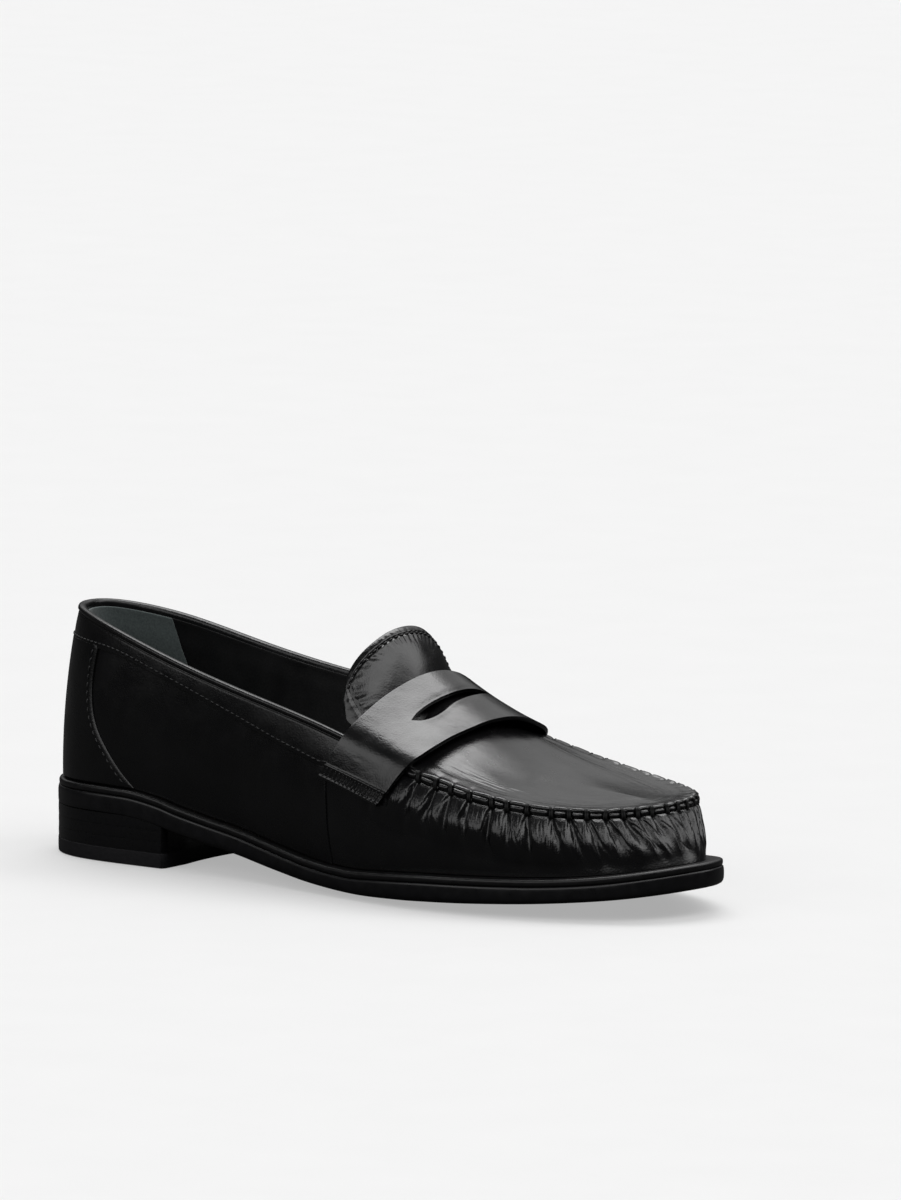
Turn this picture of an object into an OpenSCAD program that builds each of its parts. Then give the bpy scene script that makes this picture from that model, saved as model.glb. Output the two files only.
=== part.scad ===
// Penny loafer, right shoe. X runs from heel to toe, Y to the inner side, Z up; the sole stands on Z = 0.
// The upper is lofted between two closed rings: the sole's outline and the upper's top edge.

/* [Bottom] */
// Thickness of the leather outsole
outsole_t = 6; // [4:0.5:7]
// Thickness of the welt strip round the outsole
welt_t = 2.4; // [2:0.2:3]
// Thickness of the rubber toplift under the heel
toplift_t = 5; // [4:0.5:6]
// Distance from the heel's back to its breast
heel_l = 62; // [55:1:66]
// Thickness of the insole board
insole_t = 2.2; // [1.8:0.2:2.6]
// Thickness of the sock lining that the foot rests on
sock_t = 1.2; // [0.8:0.2:1.6]

/* [Upper] */
// Thickness of the outer leather
leather_t = 1.2; // [1:0.1:1.4]
// Thickness of the lining leather
lining_t = 0.8; // [0.6:0.1:1]
// Thickness of the heel stiffener and of the toe puff
stiffener_t = 0.6; // [0.4:0.1:0.6]
// Thickness of the strap over the instep
strap_t = 1.4; // [1.2:0.1:1.6]

/* [Penny slot] */
// Length of the slot in the strap
slot_l = 44; // [36:1:46]
// Width of the slot
slot_w = 4.4; // [3:0.2:5]

/* [Stitching] */
// Length of one machine stitch
stitch_l = 2.6; // [2:0.2:3.2]
// Gap between two machine stitches
stitch_gap = 0.9; // [0.6:0.1:1.2]
// Thickness of the machine thread
thread_d = 0.6; // [0.4:0.1:0.8]
// Thickness of the waxed thread in the apron seam
moc_thread_d = 1; // [0.8:0.1:1.2]
// Number of hand stitches round the apron seam
moc_stitches = 30; // [24:1:36]

/* [Hidden] */

BLACK = "#1b1b1d";
// Free gap between two layers of the upper
fit_gap = 0.1;

// Outline of the outsole seen from above: heel back, outer side, toe, inner side
SOLE = [[0, 0], [7, -19], [26, -30], [60, -31.5], [95, -33.5], [128, -39.5], [155, -44.2], [180, -46],
    [206, -43.2], [231, -35.5], [253.8, -21.2], [264.5, 2], [255.4, 20], [235.2, 33.4], [208, 41], [180, 40.8],
    [153, 35], [122, 27.6], [90, 25.2], [58, 27.8], [26, 28.4], [7, 18.4]];
// Top edge of the upper at the same stations: the topline behind stations 6 and 16, the apron seam ahead
TOP = [[6.2, 0, 82.5], [13, -12.5, 82], [34, -22.3, 78], [64, -27, 70], [96, -30, 62.5], [126, -32.5, 56],
    [151, -34.4, 49.5], [176, -35.3, 43.2], [201, -33.3, 37.8], [224, -25, 35], [240, -11.5, 34.8],
    [247, 5, 35.6], [243, 21.5, 36], [227, 31.8, 37], [204, 35.6, 40], [178, 35.6, 45.6], [152, 33.5, 52.6],
    [126, 31, 58.4], [95, 28.2, 63.2], [62, 25.8, 69.5], [32, 22, 76.8], [11.5, 12, 81.4]];
stations = len(SOLE);
toe_station = 11;
// Height of the outsole's underside along the shoe: heel seat, waist, ball, toe spring
UNDERSIDE = [[0, 16.6], [44, 16.6], [58, 14.8], [67, 12.6], [80, 10.2], [94, 8], [111, 4.8], [128, 2],
    [150, 0], [170, 0], [184, 0.6], [200, 1.6], [224, 3.5], [245, 6], [265, 9.4]];
// Extra thickness of the outsole under the ball
TREAD = [[0, 0], [58, 0.3], [128, 0.3], [146, 0.8], [160, 1.8], [176, 2.5], [190, 2.4], [206, 1.9],
    [232, 1], [265, 0.4]];
// Step of the flat facets that the layered bottom follows
facet = 8;
ball_flat = [150, 170];
// Distance from the outsole's edge in to the upper, along the shoe
MARGIN = [[0, 2.6], [60, 3], [110, 3.4], [170, 5], [230, 5.6], [265, 6]];
// How far the wall stands out from a straight line between its edges
BULGE = [[0, 1.6], [60, 2.2], [120, 2.6], [180, 3.2], [225, 2.2], [265, 1]];

// Strap edges from the outer end over the instep to the inner end: behind, then in front
STRAP_BACK = [[134.4, -39.8, 39], [138.4, -38.6, 46], [141.8, -35.9, 53], [143.8, -29.4, 58.4],
    [145.6, -18.6, 64.2], [148, -6, 68.8], [149.8, 5, 70.4], [150.6, 16, 68.4], [150, 26, 63.4],
    [148.2, 32.4, 59], [145.2, 35.6, 53.8], [141.1, 36, 46.4], [137.6, 35.7, 39.6]];
STRAP_FRONT = [[160.7, -42.9, 32], [165.3, -41, 39], [169.4, -38, 45.4], [172.6, -32, 49.6],
    [174, -21, 53.2], [175.4, -8, 56], [176, 4, 57], [175.8, 16, 56], [175, 26.5, 53],
    [173.4, 33.8, 50.2], [170.4, 38.2, 46.6], [166.2, 39.5, 40], [162, 39.5, 33]];
slot_across = 0.47;
slot_middle = 5.9;

// Lower edge of the collar band: height at each distance from the heel
COLLAR_EDGE = [[0, 71.4], [20, 71], [37, 69.6], [60, 63.6], [88, 55.2], [113, 47.4], [132, 42.2]];
collar_end = 5.9;
// Front edge of the counter patch: distance from the heel at each height
COUNTER_EDGE = [[22, 52], [30, 43], [36.5, 37], [44, 31], [51, 28], [60, 26.8], [70, 27.4]];

// Tongue: middle of the base under the strap, middle of the tip, half width, and how far its sides fall
tongue_base = [148.9, 0.9, 65.8];
tongue_tip = [137.8, 4.5, 84.4];
tongue_half_w = 27.9;
tongue_fall = [-7, 0, -12.6];
// The base slants like the strap's edge: this much further forward at the inner side
tongue_skew = 1.6;
// The tongue bends about a line through this point, across the shoe
hinge = [149.5, 0, 68];

// Splines ------------------------------------------------------------------
function wrap(i, n) = ((i % n) + n) % n;
function blend4(a, b, c, d, t) = 0.5 * (2 * b + (c - a) * t + (2 * a - 5 * b + 4 * c - d) * t * t
    + (3 * b - a - 3 * c + d) * t * t * t);
function ring(p, s) = let (n = len(p), i = floor(s), t = s - i)
    blend4(p[wrap(i - 1, n)], p[wrap(i, n)], p[wrap(i + 1, n)], p[wrap(i + 2, n)], t);
function path(p, s) = let (n = len(p) - 1, i = min(floor(s), n - 1), t = s - i)
    blend4(i > 0 ? p[i - 1] : 2 * p[0] - p[1], p[i], p[i + 1], i < n - 1 ? p[i + 2] : 2 * p[n] - p[n - 1], t);
function slope(tab, i) = let (n = len(tab) - 1, a = max(i - 1, 0), b = min(i + 1, n))
    (tab[b][1] - tab[a][1]) / (tab[b][0] - tab[a][0]);
function cell(tab, x, i = 0) = i >= len(tab) - 2 || x < tab[i + 1][0] ? i : cell(tab, x, i + 1);
function curve(tab, x) = let (i = cell(tab, x), h = tab[i + 1][0] - tab[i][0], t = (x - tab[i][0]) / h)
    (2 * t ^ 3 - 3 * t ^ 2 + 1) * tab[i][1] + (t ^ 3 - 2 * t ^ 2 + t) * h * slope(tab, i)
    + (3 * t ^ 2 - 2 * t ^ 3) * tab[i + 1][1] + (t ^ 3 - t ^ 2) * h * slope(tab, i + 1);
function unit(v) = v / norm(v);
function mix(a, b, t) = a + (b - a) * t;

// Bottom -------------------------------------------------------------------
sole_points = [for (s = [0 : 1 / 3 : stations - 0.01]) ring(SOLE, s)];
sole_x = [for (p = sole_points) p[0]];
sole_y = [for (p = sole_points) p[1]];
middle = [(min(sole_x) + max(sole_x)) / 2, (min(sole_y) + max(sole_y)) / 2, 0];
facet_x = [for (x = [-facet : facet : 276]) x, ball_flat[0], ball_flat[1]];
function sorted(v) = len(v) < 2 ? v : let (m = v[floor(len(v) / 2)])
    concat(sorted([for (x = v) if (x < m) x]), [m], sorted([for (x = v) if (x > m) x]));
underside = [for (x = sorted(facet_x)) [x, x > ball_flat[0] - 1 && x < ball_flat[1] + 1 ? 0
    : max(0, curve(UNDERSIDE, max(0, min(265, x))))]];
function tread(x) = curve(TREAD, max(0, min(265, x)));
outsole_top = [for (p = underside) [p[0], p[1] + outsole_t + tread(p[0])]];
function top_z(x) = lookup(x, outsole_top);
function seat_z(x) = top_z(x) + welt_t;
function outward(s) = let (t = unit(ring(SOLE, s + 0.02) - ring(SOLE, s - 0.02))) [t[1], -t[0]];
// The sole's outline drawn in by d, as a ring of points
function inset(d) = [for (s = [0 : 1 / 3 : stations - 0.01]) ring(SOLE, s) - outward(s) * d];
function feather_inset(s) = lookup(ring(SOLE, s)[0], MARGIN);
// The upper's inner outline, drawn in by d and by lean more at the toe, where the wall leans back
function inside_upper(d, lean) = [for (s = [0 : 1 / 3 : stations - 0.01]) ring(SOLE, s)
    - outward(s) * (feather_inset(s) + d + lookup(ring(SOLE, s)[0], [[0, 0], [190, 0], [265, lean]]))];

// A layer that fills an outline between two side profiles
module between(outline, low, high) {
    intersection() {
        linear_extrude(120) polygon(outline);
        translate([0, 100, 0]) rotate([90, 0, 0]) linear_extrude(200)
            polygon(concat(low, [for (i = [len(high) - 1 : -1 : 0]) high[i]]));
    }
}
// A layer between heights a and b over the outsole's top
module layer(outline, a, b) {
    between(outline, [for (p = outsole_top) [p[0], p[1] + a]], [for (p = outsole_top) [p[0], p[1] + b]]);
}
// The part of a layer behind or ahead of a line across the shoe
module span(x0, x1) {
    intersection() {
        children();
        translate([x0, -60, -1]) cube([x1 - x0, 120, 140]);
    }
}
module heel_block(z0, z1) {
    breast_r = 110;
    breast_hollow = 1.6;
    difference() {
        intersection() {
            translate([0, 0, z0]) linear_extrude(z1 - z0) polygon(sole_points);
            translate([-5, -60, z0 - 1]) cube([heel_l + 5, 120, z1 - z0 + 2]);
        }
        translate([heel_l + breast_r - breast_hollow, 0, z0 - 1])
            cylinder(r = breast_r, h = z1 - z0 + 2, $fn = 128);
    }
}
lift_t = (UNDERSIDE[0][1] - toplift_t) / 3;
function lift_z(i) = toplift_t + lift_t * i;
nail_r = 1;
nail_clearance = 0.02;
nail_bottom = 8;
nail_ring_r = 17;
nail_centre = [29, -0.5];
module nail_places() {
    for (a = [0 : 60 : 300])
        translate([nail_centre[0] + nail_ring_r * cos(a), nail_centre[1] + nail_ring_r * sin(a), 0]) children();
}
module nail_holes() {
    nail_places() translate([0, 0, nail_bottom]) cylinder(r = nail_r + nail_clearance, h = 60, $fn = 24);
}
module toplift() { color(BLACK) heel_block(0, toplift_t); }
module heel_lift(i) {
    color(BLACK) difference() {
        intersection() {
            heel_block(lift_z(i), lift_z(i + 1));
            between(sole_points, [[-8, 0], [276, 0]], underside);
        }
        nail_holes();
    }
}
module heel_nails() {
    color("silver") nail_places() {
        translate([0, 0, nail_bottom]) cylinder(r = nail_r, h = UNDERSIDE[0][1] + outsole_t - nail_bottom,
            $fn = 24);
    }
}
module outsole() {
    color(BLACK) difference() {
        between(sole_points, underside, outsole_top);
        nail_holes();
    }
}
welt_w = 11;
module welt() {
    color(BLACK) difference() {
        layer(inset(0.3), 0, welt_t);
        linear_extrude(120) polygon(inset(welt_w));
    }
}
shank_l = 105;
shank_w = 13;
shank_t = 1.6;
shank_x = 42;
board_end = 158;
module shank_blank(w, t, spare) {
    span(shank_x - spare, shank_x + shank_l + spare) intersection() {
        layer(sole_points, 0, t);
        translate([0, -w / 2, 0]) cube([300, w, 120]);
    }
}
module shank() { color("silver") shank_blank(shank_w, shank_t, 0); }
module shank_board() {
    color("#8a6f4d") difference() {
        span(-5, board_end) layer(inset(welt_w + fit_gap), 0, welt_t);
        shank_blank(shank_w + 2 * fit_gap, shank_t + fit_gap, fit_gap);
    }
}
module cork_filler() {
    color("#b08a5a") span(board_end + fit_gap, 270)
        layer(inset(welt_w + fit_gap), 0, welt_t);
}
insole_z = welt_t + fit_gap;
inner_wall = leather_t + stiffener_t + lining_t + 3 * fit_gap + 0.3;
module insole() { color("#9a8468") layer(inside_upper(inner_wall, 1.2), insole_z, insole_z + insole_t); }
pad_t = 2.4;
pad_end = 66;
pad_inset = 5;
module heel_pad() {
    z = insole_z + insole_t;
    color("#5d5f60") span(-5, pad_end) layer(inside_upper(inner_wall + pad_inset, 0), z + fit_gap, z + pad_t);
}
module sock_lining() {
    z = insole_z + insole_t + pad_t + fit_gap;
    ramp = 22;
    drop = pad_t - fit_gap;
    // The sock lies on the pad under the heel and comes down to the insole ahead of it
    function low(x) = x < pad_end ? z : x > pad_end + ramp ? z - drop : z - drop * (x - pad_end) / ramp;
    stops = [for (p = underside) if (p[0] < pad_end - 1 || p[0] > pad_end + ramp + 1) p[0], pad_end,
        pad_end + ramp / 2, pad_end + ramp];
    xs = sorted(stops);
    color(BLACK) intersection() {
        linear_extrude(120) polygon(inside_upper(inner_wall + 0.5, 2.6));
        translate([0, 100, 0]) rotate([90, 0, 0]) linear_extrude(200)
            polygon(concat([for (x = xs) [x, top_z(x) + low(x)]],
                [for (i = [len(xs) - 1 : -1 : 0]) [xs[i], top_z(xs[i]) + low(xs[i]) + sock_t]]));
    }
}

// Upper --------------------------------------------------------------------
function feather(s) = let (p = ring(SOLE, s) - outward(s) * feather_inset(s))
    [p[0], p[1], seat_z(p[0]) + fit_gap];
// A point of the wall's outer surface: s goes round the shoe, v goes up from sole to top edge
function wall(s, v) = let (o = outward(s), b = lookup(ring(SOLE, s)[0], BULGE) * 4 * v * (1 - v))
    mix(feather(s), ring(TOP, s), v) + [o[0] * b, o[1] * b, 0];
function wall_normal(s, v) = let (w = min(max(v, 0.03), 0.97))
    unit(cross(wall(s + 0.03, w) - wall(s - 0.03, w), wall(s, w + 0.03) - wall(s, w - 0.03)));
// The same point moved d into the shoe
function skin(s, v, d) = wall(s, v) - wall_normal(s, v) * d;
// Share of the wall's height at which it reaches height z
function share_at(s, z) = (z - feather(s)[2]) / (ring(TOP, s)[2] - feather(s)[2]);

// A solid between two grids of points; a and b have the same shape, a on the outside.
// Cells in columns hole[0] to hole[1] of row hole[2] are left open.
module plate(a, b, hole = [-1, -1, -1]) {
    n = len(a);
    m = len(a[0]);
    function pa(i, j) = i * m + j;
    function pb(i, j) = n * m + i * m + j;
    function open(i, j) = j == hole[2] && i >= hole[0] && i < hole[1];
    function quad(p, q, r, t) = [[p, r, q], [p, t, r]];
    skins = [for (i = [0 : n - 2], j = [0 : m - 2]) if (!open(i, j)) each
        concat(quad(pa(i, j), pa(i + 1, j), pa(i + 1, j + 1), pa(i, j + 1)),
            quad(pb(i, j), pb(i, j + 1), pb(i + 1, j + 1), pb(i + 1, j)))];
    long_sides = [for (i = [0 : n - 2]) each
        concat(quad(pb(i, 0), pb(i + 1, 0), pa(i + 1, 0), pa(i, 0)),
            quad(pa(i, m - 1), pa(i + 1, m - 1), pb(i + 1, m - 1), pb(i, m - 1)))];
    short_sides = [for (j = [0 : m - 2]) each
        concat(quad(pa(0, j), pa(0, j + 1), pb(0, j + 1), pb(0, j)),
            quad(pb(n - 1, j), pb(n - 1, j + 1), pa(n - 1, j + 1), pa(n - 1, j)))];
    r = hole[2];
    hole_long = [for (i = [hole[0] : 1 : hole[1] - 1]) if (r >= 0) each
        concat(quad(pa(i, r), pa(i + 1, r), pb(i + 1, r), pb(i, r)),
            quad(pb(i, r + 1), pb(i + 1, r + 1), pa(i + 1, r + 1), pa(i, r + 1)))];
    hole_short = r < 0 ? [] : concat(
        quad(pb(hole[0], r), pb(hole[0], r + 1), pa(hole[0], r + 1), pa(hole[0], r)),
        quad(pa(hole[1], r), pa(hole[1], r + 1), pb(hole[1], r + 1), pb(hole[1], r)));
    polyhedron(concat([for (row = a) each row], [for (row = b) each row]),
        concat(skins, long_sides, short_sides, hole_long, hole_short));
}
// A patch of the wall: stations s0 to s1, d0 to d1 into the shoe, with low and high edges as functions of s
module patch(s0, s1, ns, low, high, nv, d0, d1) {
    function grid(d) = [for (i = [0 : ns]) let (s = mix(s0, s1, i / ns))
        [for (j = [0 : nv]) skin(s, mix(low(s), high(s), j / nv), d)]];
    plate(grid(d0), grid(d1));
}
bottom_edge = function (s) 0.015;
lining_edge = function (s) 0.05;
top_edge = function (s) 1;
quarter_front = 5.22;
lining_d = leather_t + stiffener_t + 2 * fit_gap;
module vamp() {
    color(BLACK) patch(quarter_front, 22 - quarter_front, 60, bottom_edge,
        function (s) s < 6 || s > 16 ? 0.92 : 0.98, 7, 0, leather_t);
}
module vamp_lining() {
    color(BLACK) patch(quarter_front + 0.4, 21.6 - quarter_front, 34, lining_edge, function (s) 0.86, 5,
        lining_d, lining_d + lining_t);
}
module toe_puff() {
    color("#d8d2c4") patch(9, 13, 18, function (s) 0.03, function (s) 0.7, 4,
        leather_t + fit_gap, leather_t + fit_gap + stiffener_t);
}
quarter_gap = 0.04;
module quarter(side) {
    s1 = quarter_front - quarter_gap;
    color(BLACK) patch(side > 0 ? 22 - s1 : 0.01, side > 0 ? 21.99 : s1, 22, bottom_edge, top_edge, 6,
        0, leather_t);
}
module quarter_lining(side) {
    s0 = 2.16;
    s1 = quarter_front + 0.36;
    color(BLACK) patch(side > 0 ? 22 - s1 : s0, side > 0 ? 22 - s0 : s1, 14, lining_edge,
        function (s) 0.97, 5, lining_d, lining_d + lining_t);
}
module heel_grip() {
    color("#5f6b69") patch(-2.12, 2.12, 22, lining_edge, function (s) 0.97, 5, lining_d,
        lining_d + lining_t);
}
module heel_stiffener() {
    color("#d8d2c4") patch(-3.2, 3.2, 26, function (s) 0.03, function (s) 0.72 - 0.05 * abs(s), 4,
        leather_t + fit_gap, leather_t + fit_gap + stiffener_t);
}
// The station between lo, nearer the heel, and hi at which the wall is x from the heel, by halving
function station_at(x, lo, hi, v, k = 0) = let (m = (lo + hi) / 2)
    k > 9 ? m : wall(m, v)[0] < x ? station_at(x, m, hi, v, k + 1) : station_at(x, lo, m, v, k + 1);
overlay = fit_gap / 2;
patch_t = 1;
function collar_low(s) = share_at(s, lookup(wall(s, 0.8)[0], [for (x = [0 : 4 : 160])
    [x, curve(COLLAR_EDGE, min(x, 132))]]));
counter_gap = 0.2;
// Distance from the heel of the counter patch's front edge at height z
function counter_x(z) = curve(COUNTER_EDGE, min(z, 70));
// The station of that edge on the outer (0) or inner (22) side, at share t of the patch's height
function counter_s(side, t, back = 0) = station_at(counter_x(mix(seat_z(30), 70.5, t)) - back,
    side, side > 0 ? 17 : 5, t * 0.8);
function counter_v(s, t) = mix(0.015, collar_low(s) - 0.02, t);
module counter_patch() {
    nv = 8;
    ns = 24;
    function grid(d) = [for (i = [0 : ns]) [for (j = [0 : nv]) let (t = j / nv,
        s = mix(counter_s(22, t) - 22, counter_s(0, t), i / ns)) skin(s, counter_v(s, t), d)]];
    color(BLACK) plate(grid(-counter_gap - patch_t), grid(-counter_gap));
}
module collar(side) {
    color(BLACK) patch(side > 0 ? 22 - collar_end : 0.01, side > 0 ? 21.99 : collar_end, 26,
        function (s) collar_low(s), top_edge, 2, -overlay - patch_t, -overlay);
}

// Apron, strap and tongue --------------------------------------------------
apron_crown = 15.5;
apron_edge = leather_t + 2 * fit_gap;
apron_back = 0.96;
apron_drop = 0.8;
// A point of the apron: r runs from the toe to the strap, w across from the outer seam to the inner one
function apron_point(r, w) = let (a = skin(toe_station - 5 * r, 0.98, apron_edge),
    b = skin(toe_station + 5 * r, 0.98, apron_edge))
    mix(a, b, w) + [0, 0, apron_crown * r ^ 2.1 * sin(180 * w) - apron_drop];
module apron_plate(z0, z1, inset) {
    function grid(z) = [for (i = [0 : 26]) let (r = 0.035 + inset + (apron_back - 0.035 - inset) * i / 26)
        [for (j = [12 : -1 : 0]) apron_point(r, mix(inset, 1 - inset, j / 12)) + [0, 0, z]]];
    plate(grid(z1), grid(z0));
}
module apron() { color(BLACK) apron_plate(-leather_t, 0, 0); }
module apron_lining() { color(BLACK) apron_plate(-leather_t - fit_gap - lining_t, -leather_t - fit_gap, 0.03); }

strap_spans = len(STRAP_BACK) - 1;
function strap_point(k, w) = mix(path(STRAP_BACK, k), path(STRAP_FRONT, k), w);
function strap_normal(k, w) = let (e = 0.05, a = max(0, k - e), b = min(strap_spans, k + e))
    unit(cross(strap_point(k, 1) - strap_point(k, 0), strap_point(b, w) - strap_point(a, w)));
function strap_skin(k, w, d) = strap_point(k, w) - strap_normal(k, w) * d;
module saddle_strap() {
    nk = 48;
    ws = [0, 0.2, slot_across, slot_across, 0.72, 1];
    width = norm(strap_point(6, 1) - strap_point(6, 0));
    across_l = norm(strap_point(slot_middle + 1.5, 0.5) - strap_point(slot_middle - 1.5, 0.5)) / 3;
    first = round((slot_middle - slot_l / 2 / across_l) / strap_spans * nk);
    last = round((slot_middle + slot_l / 2 / across_l) / strap_spans * nk);
    // Share of the slot's full width at one column: pointed at both ends, widest in the middle
    function open_at(i) = let (t = (2 * i - first - last) / (last - first)) max(0, 1 - t * t);
    function across(i, j) = ws[j] + (j == 2 ? -0.75 * open_at(i) - 0.02 : j == 3 ? 0.25 * open_at(i) + 0.02 : 0)
        * slot_w / width;
    function grid(d) = [for (i = [nk : -1 : 0]) [for (j = [0 : 5])
        strap_skin(strap_spans * i / nk, across(i, j), d)]];
    color(BLACK) plate(grid(0), grid(strap_t), [nk - last, nk - first, 2]);
}

tongue_reach = function (q) (1 - abs(q) ^ 4) ^ 0.4;
// A point of the tongue: q across, t from its base to its rim
function tongue_point(q, t) = let (p = t * (0.04 + tongue_reach(q)))
    mix(tongue_base, tongue_tip, p) + tongue_fall * q * q + [tongue_skew * q, tongue_half_w * q, 0];
function tongue_normal(q, t) = let (e = 0.02, a = max(-0.98, q - e), b = min(0.98, q + e))
    unit(cross(mix(tongue_base, tongue_tip, 1) - tongue_base,
        tongue_point(b, 0) - tongue_point(a, 0)));
function tongue_skin(q, t, d) = tongue_point(q, t) + tongue_normal(q, t) * d;
module tongue_plate(d0, d1, trim) {
    function grid(d) = [for (i = [0 : 24]) let (q = 0.985 * (2 * i / 24 - 1) * (1 - trim))
        [for (j = [0 : 7]) tongue_skin(q, j / 7 * (1 - trim), d)]];
    plate(grid(d0), grid(d1));
}
module tongue() { color(BLACK) tongue_plate(0, leather_t, 0); }
module tongue_lining() { color(BLACK) tongue_plate(leather_t + fit_gap, leather_t + fit_gap + lining_t, 0.03); }

// Stitching ----------------------------------------------------------------
module rod(a, b, r) {
    v = b - a;
    translate(a) rotate([0, acos(v[2] / norm(v)), atan2(v[1], v[0])]) cylinder(r = r, h = norm(v), $fn = 16);
}
// Stitches laid along a run of points, each with a gap after it
module stitch_row(points, r) {
    for (i = [0 : len(points) - 2])
        rod(points[i], mix(points[i], points[i + 1], stitch_l / (stitch_l + stitch_gap)), r);
}
// Count of stitches that fill a length
function stitches_in(l) = floor(l / (stitch_l + stitch_gap));
// A thread lies this far over the leather's face
thread_out = thread_d / 2 + 0.06;
module moc_stitching() {
    first = 6.9;
    last = 15.1;
    r = moc_thread_d / 2;
    color(BLACK) for (i = [0 : moc_stitches]) {
        s = mix(first, last, i / moc_stitches);
        rod(skin(s, 1, -0.9) + [0, 0, r + 0.05], skin(s, 1, 3.6) + [0, 0, r + 0.65], r);
    }
}
module collar_stitching() {
    n = stitches_in(156);
    up = 0.06;
    color(BLACK) for (side = [0, 22]) stitch_row([for (i = [0 : n])
        let (s = abs(side - mix(0.6, 5.4, i / n))) skin(s, collar_low(s) + up,
            -overlay - patch_t - thread_out)], thread_d / 2);
}
module counter_stitching() {
    n = stitches_in(48);
    color(BLACK) for (side = [0, 22]) stitch_row([for (i = [0 : n])
        let (t = mix(0.05, 0.93, i / n), s = counter_s(side, t, 2.2))
            skin(s, counter_v(s, t), -counter_gap - patch_t - thread_out)], thread_d / 2);
}
module strap_stitching() {
    n = stitches_in(26);
    color(BLACK) for (end = [0, 1], row = [0.14, 0.62]) stitch_row([for (i = [0 : n])
        strap_skin(end > 0 ? strap_spans - row : row, mix(0.05, 0.97, i / n), -thread_out)], thread_d / 2);
}
module tongue_stitching() {
    n = stitches_in(76);
    color(BLACK) stitch_row([for (i = [0 : n]) let (q = 0.93 * (2 * i / n - 1))
        tongue_skin(q, 0.9, -thread_out)], thread_d / 2);
}

translate(-middle) {
    toplift();
    heel_lift(0);  // heel_lift_1
    heel_lift(1);  // heel_lift_2
    heel_lift(2);  // heel_lift_3
    heel_nails();
    outsole();
    welt();
    shank();
    shank_board();
    cork_filler();
    insole();
    heel_pad();
    sock_lining();
    vamp();
    vamp_lining();
    toe_puff();
    apron();
    apron_lining();
    quarter(-1);  // quarter_lateral
    quarter(1);  // quarter_medial
    quarter_lining(-1);  // quarter_lining_lateral
    quarter_lining(1);  // quarter_lining_medial
    heel_stiffener();
    heel_grip();
    counter_patch();
    collar(-1);  // collar_lateral
    collar(1);  // collar_medial
    saddle_strap();
    tongue();
    tongue_lining();
    moc_stitching();
    collar_stitching();
    counter_stitching();
    strap_stitching();
    tongue_stitching();
}
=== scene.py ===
"""Looks of the penny loafer. Lengths are in millimetres from the heel's back and the shoe's long
axis, as in the CAD, until place() turns them into the frame's metres."""
import math

import bmesh
import bpy
import numpy as np
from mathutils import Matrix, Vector


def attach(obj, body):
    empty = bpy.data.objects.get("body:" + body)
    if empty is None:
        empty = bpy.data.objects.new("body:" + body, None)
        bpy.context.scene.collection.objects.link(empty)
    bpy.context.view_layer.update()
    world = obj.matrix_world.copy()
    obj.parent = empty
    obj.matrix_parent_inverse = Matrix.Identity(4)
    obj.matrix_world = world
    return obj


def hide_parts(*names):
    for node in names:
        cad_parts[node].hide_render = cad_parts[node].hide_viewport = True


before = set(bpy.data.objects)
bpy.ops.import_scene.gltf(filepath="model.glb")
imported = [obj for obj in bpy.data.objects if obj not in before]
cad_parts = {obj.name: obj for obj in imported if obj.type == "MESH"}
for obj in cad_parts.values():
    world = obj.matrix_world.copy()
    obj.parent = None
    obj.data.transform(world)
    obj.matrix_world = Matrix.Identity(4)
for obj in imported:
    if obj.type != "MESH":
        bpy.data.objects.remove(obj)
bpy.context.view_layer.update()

MIDDLE = np.array([132.25, -2.14, 0.0])     # the frame's origin in the CAD's own millimetres
STATIONS, TOE = 22, 11                      # stations round the shoe, and the one at the toe
OUTSOLE_T, WELT_T, INSOLE_T, SOCK_T = 6.0, 2.4, 2.2, 1.2
TOPLIFT_T, HEEL_H, HEEL_L = 5, 16.6, 62.0
FIT_GAP = 0.1
PAD_STEP = 2.3                              # the sock lining's rise over the heel pad

# ---------------------------------------------------------------- driving curves, as in the CAD but for CURL
# SOLE and TOP come from a scratch program's fit to the photograph: SOLE rounded, TOP also changed by eye
SOLE = [(0, 0), (7, -19), (26, -30), (60, -31.5), (95, -33.5), (128, -39.5), (155, -44.2), (180, -46),
        (206, -43.2), (231, -35.5), (253.8, -21.2), (264.5, 2), (255.4, 20), (235.2, 33.4), (208, 41),
        (180, 40.8), (153, 35), (122, 27.6), (90, 25.2), (58, 27.8), (26, 28.4), (7, 18.4)]
TOP = [(6.2, 0, 82.5), (13, -12.5, 82), (34, -22.3, 78), (64, -27, 70), (96, -30, 62.5),
       (126, -32.5, 56), (151, -34.4, 49.5), (176, -35.3, 43.2), (201, -33.3, 37.8), (224, -25, 35),
       (240, -11.5, 34.8), (247, 5, 35.6), (243, 21.5, 36), (227, 31.8, 37), (204, 35.6, 40),
       (178, 35.6, 45.6), (152, 33.5, 52.6), (126, 31, 58.4), (95, 28.2, 63.2), (62, 25.8, 69.5),
       (32, 22, 76.8), (11.5, 12, 81.4)]
# Heights of the outsole's underside, and how much thicker it is under the ball
UNDERSIDE = [(0, 16.6), (44, 16.6), (58, 14.8), (67, 12.6), (80, 10.2), (94, 8), (111, 4.8), (128, 2),
             (150, 0), (170, 0), (184, 0.6), (200, 1.6), (224, 3.5), (245, 6), (265, 9.4)]
TREAD = [(0, 0), (58, 0.3), (128, 0.3), (146, 0.8), (160, 1.8), (176, 2.5), (190, 2.4), (206, 1.9),
         (232, 1), (265, 0.4)]
# How much the tread's edge curls up from the ground
CURL = [(0, 0), (100, 0), (125, 0.8), (150, 1.6), (175, 2.0), (200, 1.8), (230, 1.3), (265, 0.3)]
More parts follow.
